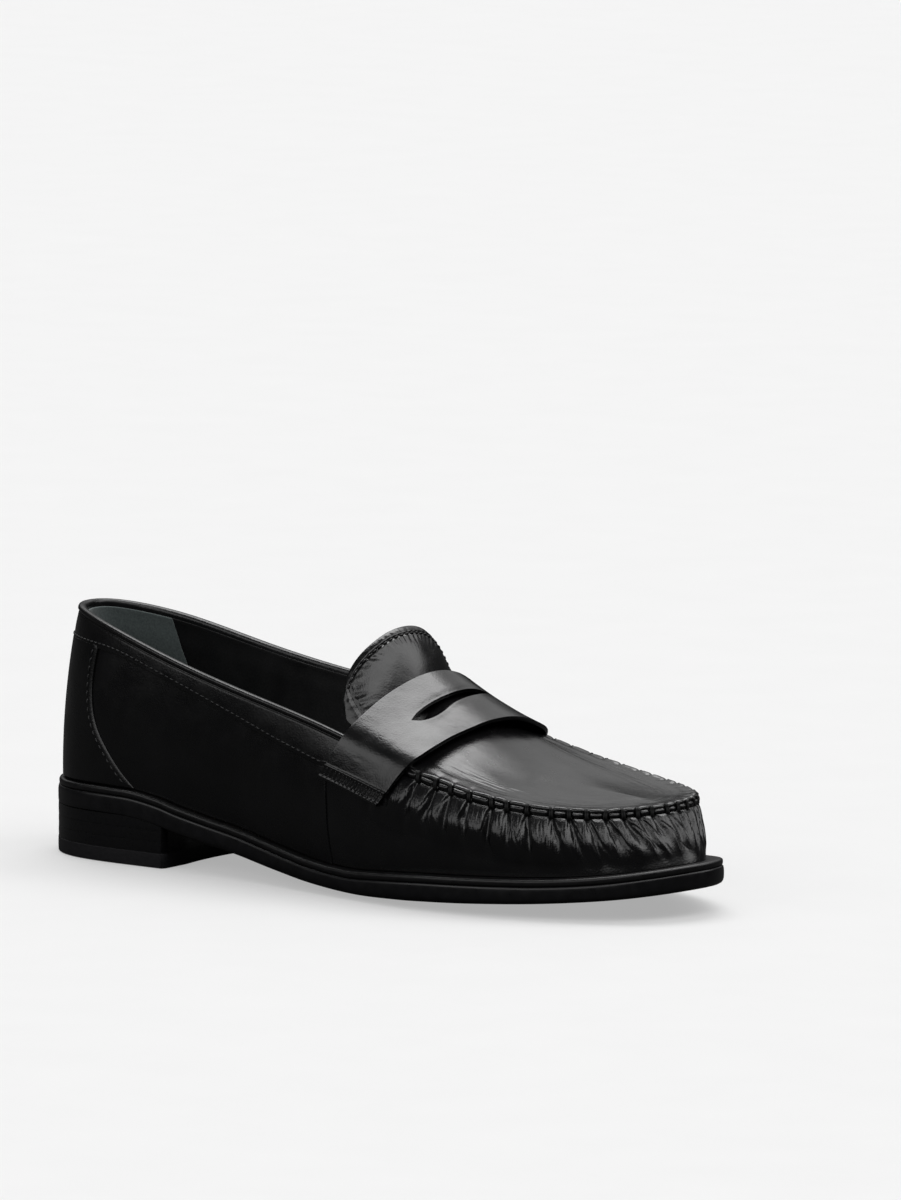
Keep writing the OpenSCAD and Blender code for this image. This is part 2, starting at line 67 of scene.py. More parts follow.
# How far the upper's foot stands in from the outsole's edge, and how far the wall bulges
MARGIN = [(0, 2.6), (60, 3), (110, 3.4), (170, 5), (230, 5.6), (265, 6)]
BULGE = [(0, 1.6), (60, 2.2), (120, 2.6), (180, 3.2), (225, 2.2), (265, 1)]
# The strap's two edges, from its outer end over the instep to its inner end
STRAP_BACK = [(134.4, -39.8, 39), (138.4, -38.6, 46), (141.8, -35.9, 53), (143.8, -29.4, 58.4),
              (145.6, -18.6, 64.2), (148, -6, 68.8), (149.8, 5, 70.4), (150.6, 16, 68.4),
              (150, 26, 63.4), (148.2, 32.4, 59), (145.2, 35.6, 53.8), (141.1, 36, 46.4),
              (137.6, 35.7, 39.6)]
STRAP_FRONT = [(160.7, -42.9, 32), (165.3, -41, 39), (169.4, -38, 45.4), (172.6, -32, 49.6),
               (174, -21, 53.2), (175.4, -8, 56), (176, 4, 57), (175.8, 16, 56), (175, 26.5, 53),
               (173.4, 33.8, 50.2), (170.4, 38.2, 46.6), (166.2, 39.5, 40), (162, 39.5, 33)]
# The collar's lower edge as (x, height), and the counter patch's front edge as (height, x)
COLLAR_EDGE = [(0, 71.4), (20, 71), (37, 69.6), (60, 63.6), (88, 55.2), (113, 47.4), (132, 42.2)]
COUNTER_EDGE = [(22, 52), (30, 43), (36.5, 37), (44, 31), (51, 28), (60, 26.8), (70, 27.4)]


def hermite(t, p, m, q, n):
    """Cubic from p with slope m to q with slope n."""
    return ((2 * t**3 - 3 * t**2 + 1) * p + (t**3 - 2 * t**2 + t) * m
            + (3 * t**2 - 2 * t**3) * q + (t**3 - t**2) * n)


def closed_curve(table):
    """A closed curve with smooth curvature through the table's points, one per station."""
    p = np.array(table, float)
    eye = np.eye(len(p))
    slope = np.linalg.solve(4 * eye + np.roll(eye, 1, 0) + np.roll(eye, -1, 0),
                            3 * (np.roll(p, -1, 0) - np.roll(p, 1, 0)))

    def at(s):
        s = np.asarray(s, float) % len(p)
        i = np.floor(s).astype(int) % len(p)
        j = (i + 1) % len(p)
        return hermite((s - np.floor(s))[..., None], p[i], slope[i], p[j], slope[j])
    return at


def open_curve(table):
    """The same for an open run of points, with free ends."""
    p = np.array(table, float)
    n = len(p)
    a = 4 * np.eye(n) + np.eye(n, k=1) + np.eye(n, k=-1)
    a[0, 0] = a[-1, -1] = 2
    pad = np.vstack([p[:1], p, p[-1:]])
    slope = np.linalg.solve(a, 3 * (pad[2:] - pad[:-2]))

    def at(s):
        s = np.clip(np.asarray(s, float), 0, n - 1)
        i = np.minimum(np.floor(s).astype(int), n - 2)
        return hermite((s - i)[..., None], p[i], slope[i], p[i + 1], slope[i + 1])
    return at


def profile(table):
    """A smooth function of x through the table's pairs."""
    x, z = np.array(table, float).T
    lo = np.maximum(np.arange(len(x)) - 1, 0)
    hi = np.minimum(np.arange(len(x)) + 1, len(x) - 1)
    slope = (z[hi] - z[lo]) / (x[hi] - x[lo])

    def at(v):
        v = np.clip(v, x[0], x[-1])
        i = np.clip(np.searchsorted(x, v, side="right") - 1, 0, len(x) - 2)
        h = x[i + 1] - x[i]
        return hermite((v - x[i]) / h, z[i], slope[i] * h, z[i + 1], slope[i + 1] * h)
    return at


sole_at, top_at = closed_curve(SOLE), closed_curve(TOP)
under_z, tread, curl = profile(UNDERSIDE), profile(TREAD), profile(CURL)
margin, bulge = profile(MARGIN), profile(BULGE)
collar_edge, counter_edge = profile(COLLAR_EDGE), profile(COUNTER_EDGE)
strap_back, strap_front = open_curve(STRAP_BACK), open_curve(STRAP_FRONT)


def unit(v):
    """Vectors along the last axis, made 1 long."""
    return v / np.maximum(np.linalg.norm(v, axis=-1, keepdims=True), 1e-9)


def stack(*parts):
    """Coordinates joined into points along a new last axis."""
    return np.stack(np.broadcast_arrays(*parts), -1).astype(float)


def outward(s):
    """The outsole's outward direction, seen from above."""
    t = unit(sole_at(s + 0.05) - sole_at(s - 0.05))
    return stack(t[..., 1], -t[..., 0])


def outsole_top(x):
    """Height of the outsole's upper face."""
    return under_z(x) + OUTSOLE_T + tread(x)


def edge_point(s, inset, z_of):
    """A point inset from the outsole's edge; z_of turns its x into a height."""
    p = sole_at(s) - outward(s) * inset
    return stack(p[..., 0], p[..., 1], z_of(p[..., 0]))


def on_side(s, side):
    """The station s steps from the heel's back: round the outer side for -1, round the inner side for 1."""
    return s if side < 0 else STATIONS - s


def feather(s):
    """The upper's foot, on the welt."""
    return edge_point(s, margin(sole_at(s)[..., 0])[..., None], lambda x: outsole_top(x) + WELT_T + FIT_GAP)


def wall(s, v):
    """The upper's outer face: s goes round the shoe, v from the sole up to the top edge."""
    s, v = np.broadcast_arrays(np.asarray(s, float), np.asarray(v, float))
    o, v1 = outward(s), v[..., None]
    b = bulge(sole_at(s)[..., 0])[..., None] * 4 * v1 * (1 - v1)
    p = feather(s) * (1 - v1) + top_at(s) * v1
    p[..., :2] += o * b
    return p


def wall_normal(s, v):
    w = np.clip(v, 0.03, 0.97)
    return unit(np.cross(wall(s + 0.03, w) - wall(s - 0.03, w), wall(s, w + 0.03) - wall(s, w - 0.03)))


def skin(s, v, d):
    """The wall's point moved d into the shoe."""
    return wall(s, v) - wall_normal(s, v) * np.asarray(d, float)[..., None]


def smooth(x, a, b):
    """0 below a, 1 above b, and a smooth step between them."""
    t = np.clip((np.asarray(x, float) - a) / (b - a), 0, 1)
    return t * t * (3 - 2 * t)


NOISE = np.random.default_rng(7).random((256, 256))


def noise(x, y, seed=0):
    """Smooth value noise from -1 to 1 with features about 1 across."""
    x, y = np.asarray(x) + seed * 17.3, np.asarray(y) + seed * 31.7
    i, j = np.floor(x).astype(int), np.floor(y).astype(int)
    fx, fy = smooth(x - i, 0, 1), smooth(y - j, 0, 1)
    a, b = NOISE[i % 256, j % 256], NOISE[(i + 1) % 256, j % 256]
    c, d = NOISE[i % 256, (j + 1) % 256], NOISE[(i + 1) % 256, (j + 1) % 256]
    return 2 * ((a * (1 - fx) + b * fx) * (1 - fy) + (c * (1 - fx) + d * fx) * fy) - 1


# ---------------------------------------------------------------- materials
NOISE_LOW, NOISE_HIGH = 0.3, 0.7            # the part of a noise texture's range that is used


def new_material(name):
    m = bpy.data.materials.new(name)
    m.use_nodes = True
    nodes, links = m.node_tree.nodes, m.node_tree.links
    return m, nodes, links, nodes["Principled BSDF"]


def surface_noise(nodes, links, scale, detail=4.0, kind="ShaderNodeTexNoise"):
    coords = nodes.get("coords") or nodes.new("ShaderNodeTexCoord")
    coords.name = "coords"
    tex = nodes.new(kind)
    tex.inputs["Scale"].default_value = scale
    if kind == "ShaderNodeTexNoise":
        tex.inputs["Detail"].default_value = detail
    links.new(coords.outputs["Object"], tex.inputs["Vector"])
    return tex


def ramp(nodes, links, source, low, high, output):
    """Map a noise texture to the range from low to high."""
    r = nodes.new("ShaderNodeMapRange")
    r.inputs["To Min"].default_value = low
    r.inputs["To Max"].default_value = high
    r.inputs["From Min"].default_value = NOISE_LOW
    r.inputs["From Max"].default_value = NOISE_HIGH
    links.new(source, r.inputs["Value"])
    links.new(r.outputs["Result"], output)


def colours(nodes, links, source, a, b, output):
    c = nodes.new("ShaderNodeValToRGB")
    for stop, position, colour in zip(c.color_ramp.elements, (NOISE_LOW, NOISE_HIGH), (a, b)):
        stop.position = position
        stop.color = (*colour, 1)
    links.new(source, c.inputs["Fac"])
    links.new(c.outputs["Color"], output)


def bumps(nodes, links, shader, layers):
    """Stack bump layers, each (height socket, distance in mm, strength)."""
    previous = None
    for height, distance, strength in layers:
        b = nodes.new("ShaderNodeBump")
        b.inputs["Distance"].default_value = distance / 1000
        b.inputs["Strength"].default_value = strength
        links.new(height, b.inputs["Height"])
        if previous:
            links.new(previous.outputs["Normal"], b.inputs["Normal"])
        previous = b
    links.new(previous.outputs["Normal"], shader.inputs["Normal"])


def leather(name, dark, light, rough, grain, pores, specular):
    """Finished leather: faint mottling, pebble grain and creases, uneven polish."""
    m, nodes, links, shader = new_material(name)
    mottle = surface_noise(nodes, links, 60)
    colours(nodes, links, mottle.outputs["Fac"], dark, light, shader.inputs["Base Color"])
    polish = surface_noise(nodes, links, 140, 6)
    ramp(nodes, links, polish.outputs["Fac"], rough[0], rough[1], shader.inputs["Roughness"])
    pebble = surface_noise(nodes, links, 1500, kind="ShaderNodeTexVoronoi")
    fine = surface_noise(nodes, links, 2600, 3)
    broad = surface_noise(nodes, links, 180, 3)
    bumps(nodes, links, shader, [(broad.outputs["Fac"], 0.25, grain),
                                 (pebble.outputs["Distance"], 0.05, pores),
                                 (fine.outputs["Fac"], 0.03, pores)])
    shader.inputs["Specular IOR Level"].default_value = specular
    return m


def plain(name, dark, light, rough, scale, depth, metal=0.0, sheen=0.0):
    """Anything but leather: one noise for its colour, roughness and bump, whose depth is in mm."""
    m, nodes, links, shader = new_material(name)
    tex = surface_noise(nodes, links, scale, 6)
    colours(nodes, links, tex.outputs["Fac"], dark, light, shader.inputs["Base Color"])
    ramp(nodes, links, tex.outputs["Fac"], rough[0], rough[1], shader.inputs["Roughness"])
    bumps(nodes, links, shader, [(tex.outputs["Fac"], depth, 0.6)])
    shader.inputs["Metallic"].default_value = metal
    shader.inputs["Sheen Weight"].default_value = sheen
    return m


MATS = {
    "strap": leather("strap_leather", (0.0032, 0.0032, 0.0035), (0.006, 0.006, 0.0064), (0.18, 0.28),
                     grain=0.33, pores=0.5, specular=0.62),
    "upper": leather("upper_leather", (0.0026, 0.0026, 0.003), (0.005, 0.005, 0.0056), (0.22, 0.34),
                     grain=0.5, pores=0.6, specular=0.5),
    "vamp": leather("gathered_leather", (0.003, 0.003, 0.0034), (0.006, 0.006, 0.0066), (0.19, 0.29),
                    grain=0.5, pores=0.7, specular=0.55),
    "lining": leather("lining_leather", (0.0036, 0.0036, 0.004), (0.0075, 0.0075, 0.008), (0.42, 0.58),
                      grain=0.3, pores=0.6, specular=0.35),
    "suede": plain("grip_suede", (0.06, 0.078, 0.078), (0.105, 0.128, 0.125), (0.8, 0.95), 1400, 0.12,
                   sheen=0.35),
    "outsole": plain("outsole_edge", (0.003, 0.003, 0.0036), (0.006, 0.0058, 0.007), (0.26, 0.38),
                     260, 0.08),
    "welt": plain("welt_leather", (0.003, 0.003, 0.0034), (0.0065, 0.0065, 0.007), (0.28, 0.42), 420, 0.1),
    "heel": plain("heel_edge", (0.0026, 0.0026, 0.0032), (0.0046, 0.0046, 0.0055), (0.27, 0.31), 900, 0.03),
    "rubber": plain("toplift_rubber", (0.0085, 0.0082, 0.01), (0.014, 0.0136, 0.016), (0.42, 0.55),
                    900, 0.08),
    "thread": plain("waxed_thread", (0.007, 0.007, 0.0076), (0.018, 0.018, 0.019), (0.38, 0.55), 2600, 0.1),
    "cord": plain("seam_cord", (0.0016, 0.0016, 0.0018), (0.0045, 0.0045, 0.0048), (0.5, 0.7), 2200, 0.12),
    "steel": plain("brushed_steel", (0.48, 0.48, 0.49), (0.6, 0.6, 0.61), (0.25, 0.4), 800, 0.02, metal=1.0),
    "board": plain("fibre_board", (0.24, 0.14, 0.07), (0.34, 0.2, 0.1), (0.8, 0.95), 1200, 0.1),
    "cork": plain("cork", (0.3, 0.17, 0.08), (0.55, 0.34, 0.17), (0.8, 0.95), 500, 0.3),
    "foam": plain("foam", (0.1, 0.105, 0.11), (0.15, 0.155, 0.16), (0.85, 0.95), 1600, 0.2),
    "stiffener": plain("stiffener_cloth", (0.6, 0.56, 0.48), (0.76, 0.72, 0.64), (0.8, 0.95), 1800, 0.1),
}


# ---------------------------------------------------------------- meshes
def place(points):
    """The CAD's millimetres as metres in the frame."""
    return (np.asarray(points, float) - MIDDLE) / 1000


def add(name, verts, faces, mat, body="shoe", replaces=(), weld=False, sharp=None):
    """A smooth-shaded piece that rides on a body and stands for CAD nodes."""
    mesh = bpy.data.meshes.new(name)
    verts = np.maximum(verts, (-np.inf, -np.inf, 0))    # nothing is below the ground
    mesh.from_pydata(place(verts).tolist(), [], [tuple(int(i) for i in f) for f in faces])
    if weld:
        b = bmesh.new()
        b.from_mesh(mesh)
        bmesh.ops.remove_doubles(b, verts=b.verts, dist=2e-6)
        b.to_mesh(mesh)
        b.free()
    mesh.shade_smooth()
    if sharp:
        mesh.set_sharp_from_angle(angle=math.radians(sharp))
    mesh.materials.append(MATS[mat])
    obj = bpy.data.objects.new(name, mesh)
    bpy.context.scene.collection.objects.link(obj)
    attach(obj, body)
    if replaces:
        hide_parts(*replaces)
    return obj


def grid_faces(n, m, close_i=False, close_j=False, flip=False, base=0):
    """Quads of an n by m grid of vertices that starts at vertex base, closed round either way if asked."""
    i = np.arange(n if close_i else n - 1)
    j = np.arange(m if close_j else m - 1)
    i, j = (a.ravel() for a in np.meshgrid(i, j, indexing="ij"))
    k, l = (i + 1) % n, (j + 1) % m
    f = np.stack([i * m + j, k * m + j, k * m + l, i * m + l], -1) + base
    return (f[:, ::-1] if flip else f).tolist()


def sheet(name, points, thick, mat, body="shoe", replaces=(), flip=False, edge=0.3, weld=False,
          keep=None):
    """A piece of leather: its outer face as a grid of points, thickened inwards, edges rounded."""
    n, m = points.shape[:2]
    faces = grid_faces(n, m, flip=flip)
    if keep is not None:
        faces = [f for f, k in zip(faces, keep.ravel()) if k]
    obj = add(name, points.reshape(-1, 3), faces, mat, body, replaces, weld)
    solid = obj.modifiers.new("thickness", "SOLIDIFY")
    solid.thickness = thick / 1000
    solid.offset = -1
    if edge:
        bevel = obj.modifiers.new("edges", "BEVEL")
        bevel.width = edge / 1000
        bevel.segments = 3
        bevel.limit_method = "ANGLE"
        bevel.angle_limit = math.radians(50)


def stitches(name, runs, radius, length, gap, body="shoe", replaces=()):
    """Machine stitches along runs of (points, normals): short threads whose ends sink in."""
    verts, faces = [], []
    turn = np.arange(8) / 8 * 2 * np.pi
    rise = np.array([-0.45, 0.0, 0.18, 0.26, 0.18, 0.0, -0.45])
    width = np.array([0.55, 0.92, 1.0, 1.0, 1.0, 0.92, 0.55])
    steps, sides = len(rise), len(turn)
    for points, normals in runs:
        points, normals = np.asarray(points), unit(np.asarray(normals))
        along = np.concatenate([[0], np.cumsum(np.linalg.norm(np.diff(points, axis=0), axis=1))])
        count = max(1, int(along[-1] // (length + gap)))
        pitch = along[-1] / count
        for k in range(count):
            at = pitch * k + (pitch - gap) * np.linspace(0, 1, steps) + gap / 2
            p = np.stack([np.interp(at, along, points[:, c]) for c in range(3)], -1)
            nrm = unit(np.stack([np.interp(at, along, normals[:, c]) for c in range(3)], -1))
            side = unit(np.cross(nrm, np.gradient(p, axis=0)))
            p = p + nrm * (rise * radius * 2)[:, None]
            ring = (p[:, None] + (side[:, None] * np.cos(turn)[None, :, None]
                    + nrm[:, None] * np.sin(turn)[None, :, None]) * (radius * width)[:, None, None])
            base = len(verts) * steps * sides
            last = base + (steps - 1) * sides
            verts.append(ring.reshape(-1, 3))
            faces += grid_faces(steps, sides, close_j=True, base=base)
            faces += [[base + i for i in range(sides)], [last + i for i in reversed(range(sides))]]
    add(name, np.concatenate(verts), faces, "thread", body, replaces)


# ---------------------------------------------------------------- bottom
ROUND = np.arange(440) / 440 * STATIONS
SHOE_L, SPINE_BACK, SPINE_L = 264.5, 14, 236


def side_y(x, side):
    """Y of the outsole's edge at x, on the outer side for -1 and the inner side for 1."""
    s = np.linspace(0, TOE, 200)
    p = sole_at(on_side(s, side))
    order = np.argsort(p[:, 0])
    return np.interp(x, p[order, 0], p[order, 1])


def spine(x):
    """The bottom's middle line, a little shorter than the outline at both ends."""
    xs = SPINE_BACK + np.asarray(x) * (SPINE_L / SHOE_L)
    return stack(xs, (side_y(xs, -1) + side_y(xs, 1)) / 2)


def towards_spine(s, inset, f, z_of):
    """An edge_point moved by fraction f of its way to the spine."""
    p = sole_at(s) - outward(s) * inset
    q = p + (spine(sole_at(s)[..., 0]) - p) * f
    return stack(q[..., 0], q[..., 1], z_of(q[..., 0]))


def rings(name, rows, mat, replaces, close=False):
    """A piece made of rings at the stations of ROUND."""
    p = np.stack(rows, 1)
    add(name, p.reshape(-1, 3), grid_faces(len(ROUND), len(rows), True, close), mat, replaces=replaces,
        weld=True)


def make_outsole():
    """Its upper face, rounded edge and underside, whose rim curls up from the ground."""
    edge = sole_at(ROUND)[..., 0]

    def low(f):
        lift = curl(edge) * (1 - smooth(f, 0, 0.45))
        return lambda x: under_z(x) + lift
    rows = [towards_spine(ROUND, 2, f, lambda x: outsole_top(x) - FIT_GAP) for f in (1, 0.6, 0.2, 0)]
    rows += [edge_point(ROUND, i, lambda x, z=z: outsole_top(x) - z) for i, z in
             ((1.0, 0.02), (0.5, 0.12), (0.22, 0.4), (0.1, 1.0))]
    soft = (0.1 + 0.9 * smooth(edge, 56, 112))[:, None]
    rows += [edge_point(ROUND, i * soft, lambda x, t=t: outsole_top(x) * (1 - t) + low(0)(x) * t) for i, t in
             ((0.02, 0.3), (0, 0.5), (0.08, 0.7), (0.3, 0.84), (0.75, 0.93), (1.5, 0.98))]
    rows += [towards_spine(ROUND, 2.6, f, low(f)) for f in (0, 0.03, 0.08, 0.16, 0.28, 0.42, 0.6, 0.8, 1)]
    rings("outsole_shaped", rows[::-1], "outsole", ["outsole"])


def make_welt():
    """The strip between the outsole and the upper."""
    # (inset from the outsole's edge, height over the outsole), round the strip's section
    shape = [(10.9, 0.06), (3, 0.05), (1.2, 0.05), (0.62, 0.12), (0.42, 0.5), (0.36, 1.1), (0.4, 1.6),
             (0.6, 2.0), (0.95, 2.25), (1.4, 2.34), (2.4, 2.36), (4.6, 2.38), (8, WELT_T), (10.9, WELT_T)]
    rows = [edge_point(ROUND, i, lambda x, z=z: outsole_top(x) + z) for i, z in shape]
    rings("welt_shaped", rows[::-1], "welt", ["welt"], close=True)


def heel_outline(grow):
    """The heel's plan as a closed ring: round the back, then across the breast."""
    s = np.linspace(-3.07, 3.07, 150)
    p = sole_at(s) + outward(s) * grow
    p = p[p[:, 0] <= HEEL_L]
    y = np.linspace(p[-1, 1], p[0, 1], 40)[1:-1]
    breast_r, hollow = 110, 1.6
    x = np.minimum(HEEL_L, HEEL_L + breast_r - hollow - np.sqrt(breast_r**2 - y**2))
    return np.vstack([p, stack(x, y)])


def make_heel_layer(name, z0, z1, mat, grow, bevel, under_sole=False):
    """One layer from z0 to z1 with bevelled edges; under_sole keeps its top below the outsole."""
    share = bevel / (z1 - z0)
    rows = []
    for g, t in ((-bevel, 0), (0, share), (0.06, 0.5), (0, 1 - share), (-bevel, 1)):
        p = heel_outline(grow + g)
        top = np.minimum(z1, under_z(p[:, 0]) - 0.02) if under_sole else z1
        rows.append(stack(p[:, 0], p[:, 1], z0 + (top - z0) * t))
    n, m = len(rows[0]), len(rows)
    faces = grid_faces(n, m, True, flip=True)
    faces += [[i * m for i in range(n)][::-1], [i * m + m - 1 for i in range(n)]]
    add(name + "_shaped", np.stack(rows, 1).reshape(-1, 3), faces, mat, replaces=[name], sharp=40)


make_outsole()
make_welt()
LIFTS = np.linspace(TOPLIFT_T, HEEL_H, 4)
make_heel_layer("toplift", 0, TOPLIFT_T, "rubber", 0.0, bevel=0.22)
for k in range(3):
    make_heel_layer(f"heel_lift_{k + 1}", LIFTS[k], LIFTS[k + 1], "heel", -0.12 - 0.03 * (k % 2), bevel=0.07,
                    under_sole=True)

# ---------------------------------------------------------------- upper
QUARTER_FRONT = 5.22


def collar_low(s):
    """The share of the wall's height where the collar's lower edge is."""
    f, t = feather(s)[..., 2], top_at(s)[..., 2]
    return (collar_edge(wall(s, 0.8)[..., 0]) - f) / (t - f)


def make_quarter(side):
    front = QUARTER_FRONT + 0.12
    s = np.linspace(0.02, front, 190)[:, None]
    ss = on_side(s, side)
    tall = top_at(ss)[..., 2] - feather(ss)[..., 2]
    v = np.linspace(0, 1, 60)[None, :] * (1 - 3.4 / tall)
    flap = 0.42 * smooth(s, 4.7, front)
    soft = 0.16 * noise(s * 2.4, v * 3.2, 3) + 0.05 * noise(s * 9, v * 9, 4)
    p = skin(ss, v, -flap - soft * smooth(v, 0, 0.2))
    name = "quarter_lateral" if side < 0 else "quarter_medial"
    sheet(name + "_leather", p, 1.1, "upper", replaces=[name], flip=side > 0)


def counter_front(side, t):
    """The station of the counter patch's front edge at share t of its height."""
    feet = feather(np.array(2.0))[..., 2]
    x = counter_edge(np.minimum(feet + (70.5 - feet) * t, 70))
    s = np.linspace(0.3, 5, 200)
    line = on_side(s, side)
    return np.array([np.interp(xi, wall(line, vi)[:, 0], s) for xi, vi in zip(x, t * 0.8)])


def make_counter():
    """The patch over the back of the heel, and the stitches along its two front edges."""
    t = np.linspace(0, 1, 40)
    lat, med = counter_front(-1, t), counter_front(1, t)
    u = np.linspace(0, 1, 140)[:, None]
    s = -med[None, :] + (lat + med)[None, :] * u
    foot = 0.012
    v = foot + (collar_low(s) + 0.02 - foot) * t[None, :]
    rim = np.minimum(u, 1 - u) * 75
    p = skin(s, v, -0.55 - 0.5 * smooth(rim, 0, 0.9))
    sheet("counter_patch_leather", p, 0.9, "upper", replaces=["counter_patch"])
    rows = []
    for side, front in ((-1, lat), (1, med)):
        tt = np.linspace(0.03, 0.97, 60)
        ss = -side * (np.interp(tt, t, front) - 0.075)
        vv = foot + (collar_low(ss) + 0.008) * tt
        rows.append((skin(ss, vv, -1.12), wall_normal(ss, vv)))
    stitches("counter_stitching_thread", rows, 0.26, 2.1, 0.7, replaces=["counter_stitching"])


def make_collar(side):
    """The band folds over the top edge: up the outside, over, and a few millimetres down inside."""
    s = np.linspace(0.0, 5.95, 230)[:, None]
    ss = on_side(s, side)
    low = collar_low(ss)
    height = top_at(ss)[..., 2] - feather(ss)[..., 2]
    soft = 0.1 * noise(s * 3, 0, 33)
    flat = 1 - 2.7 / height - low
    # the band's flat part: (share of its height, how far out)
    rows = [skin(ss, low + flat * t, -d - soft * math.sin(math.pi * t)) for t, d in
            ((0.0, 0.1), (0.0, 0.5), (0.015, 0.66), (0.05, 0.74), (0.12, 0.74), (0.3, 0.8), (0.6, 0.82),
             (1.0, 0.78))]
    # a groove and the bead above it: (below the top edge, how far out)
    for down, d in ((2.3, 0.76), (1.9, 0.68), (1.65, 0.42), (1.45, 0.45), (1.25, 0.85), (0.85, 1.2),
                    (0.4, 1.25)):
        rows.append(skin(ss, 1 - down / height, -d))
    # over the top edge, then down inside
    n = wall_normal(ss, 0.97)
    top = wall(ss, 1)
    for a, up in ((1.05, 0.2), (0.6, 0.55), (0.0, 0.72), (-0.7, 0.72), (-1.2, 0.5), (-1.55, 0.15)):
        rows.append(top + n * a + np.array([0, 0, up]))
    for down, d in ((0.5, 1.75), (1.1, 1.9), (2.0, 2.1), (2.9, 2.2), (3.1, 1.95)):
        rows.append(skin(ss, 1 - down / height, d))
    p = np.concatenate(rows, 1)
    name = "collar_lateral" if side < 0 else "collar_medial"
    sheet(name + "_band", p, 0.5, "upper", replaces=[name], flip=side > 0, edge=0)


def make_collar_stitching():
    rows = []
    for side in (-1, 1):
        ss = on_side(np.linspace(0.05, 5.45, 260), side)
        v = collar_low(ss) + 0.032
        rows.append((skin(ss, v, -0.86), wall_normal(ss, v)))
    stitches("collar_stitching_thread", rows, 0.3, 1.9, 0.55, replaces=["collar_stitching"])


def make_linings():
    """Linings of the quarters and the vamp, and the grip at the back of the heel."""
    for side, name in ((-1, "quarter_lining_lateral"), (1, "quarter_lining_medial")):
        s = np.linspace(1.5, QUARTER_FRONT + 0.5, 116)[:, None]
        v = np.linspace(0.03, 0.975, 40)[None, :]
        d = 2.0 - 0.5 * smooth(v, 0.8, 0.975) + 0.12 * noise(s * 3, v * 4, 8)
        sheet(name + "_leather", skin(on_side(s, side), v, d), 0.7, "lining", replaces=[name],
              flip=side > 0, edge=0.2)
    v = np.linspace(0.03, 0.975, 44)[None, :]
    s = np.linspace(-1, 1, 120)[:, None] * (1.84 + 0.8 * (0.9 - v))
    d = 2.75 - 0.75 * smooth(v, 0.8, 0.975) + 0.1 * noise(s * 2, v * 3, 9) + 0.25 * np.sin(v * np.pi)
    sheet("heel_grip_suede", skin(s, v, d), 0.7, "suede", replaces=["heel_grip"], edge=0.25)
    s = np.linspace(QUARTER_FRONT + 0.4, 21.6 - QUARTER_FRONT, 200)[:, None]
    v = np.linspace(0.05, 0.86, 30)[None, :]
    sheet("vamp_lining_leather", skin(s, v, 2.0 + 0.1 * noise(s * 3, v * 4, 10)), 0.7, "lining",
          replaces=["vamp_lining"], edge=0)


for side in (-1, 1):
    make_quarter(side)
    make_collar(side)
make_counter()
make_collar_stitching()
make_linings()

# ---------------------------------------------------------------- gathered vamp and its seam
rng = np.random.default_rng(11)
FIRST_KNOT, LAST_KNOT, KNOT_COUNT = 6.34, 15.66, 35
KNOTS = FIRST_KNOT + (LAST_KNOT - FIRST_KNOT) * np.arange(KNOT_COUNT) / (KNOT_COUNT - 1)
KNOTS[1:-1] += rng.uniform(-0.034, 0.034, KNOT_COUNT - 2)
ARC_S = np.linspace(4.5, 17.5, 1301)
ARC = np.concatenate([[0], np.cumsum(np.linalg.norm(np.diff(top_at(ARC_S), axis=0), axis=1))])
KNOT_ARC = np.interp(KNOTS, ARC_S, ARC)


def arc(s):
    """Millimetres along the top edge to station s."""
    return np.interp(s, ARC_S, ARC)


def pinch(s):
    """1 at each stitch of the seam, falling to 0 between them."""
    a = arc(s)
    return sum(np.exp(-((a - k) / 1.05) ** 2) for k in KNOT_ARC)


def slant_at(a):
    """Sideways run of a pleat per millimetre down: back near the strap, forward at the toe."""
    return np.interp(a, arc(np.array([6.2, 7.5, 8.6, 9.6, 10.6, 11.0, 11.4, 12.4, 13.4, 14.5, 15.8])),
                     [-0.42, -0.12, 0.15, 0.35, 0.2, 0, -0.2, -0.35, -0.15, 0.12, 0.42])


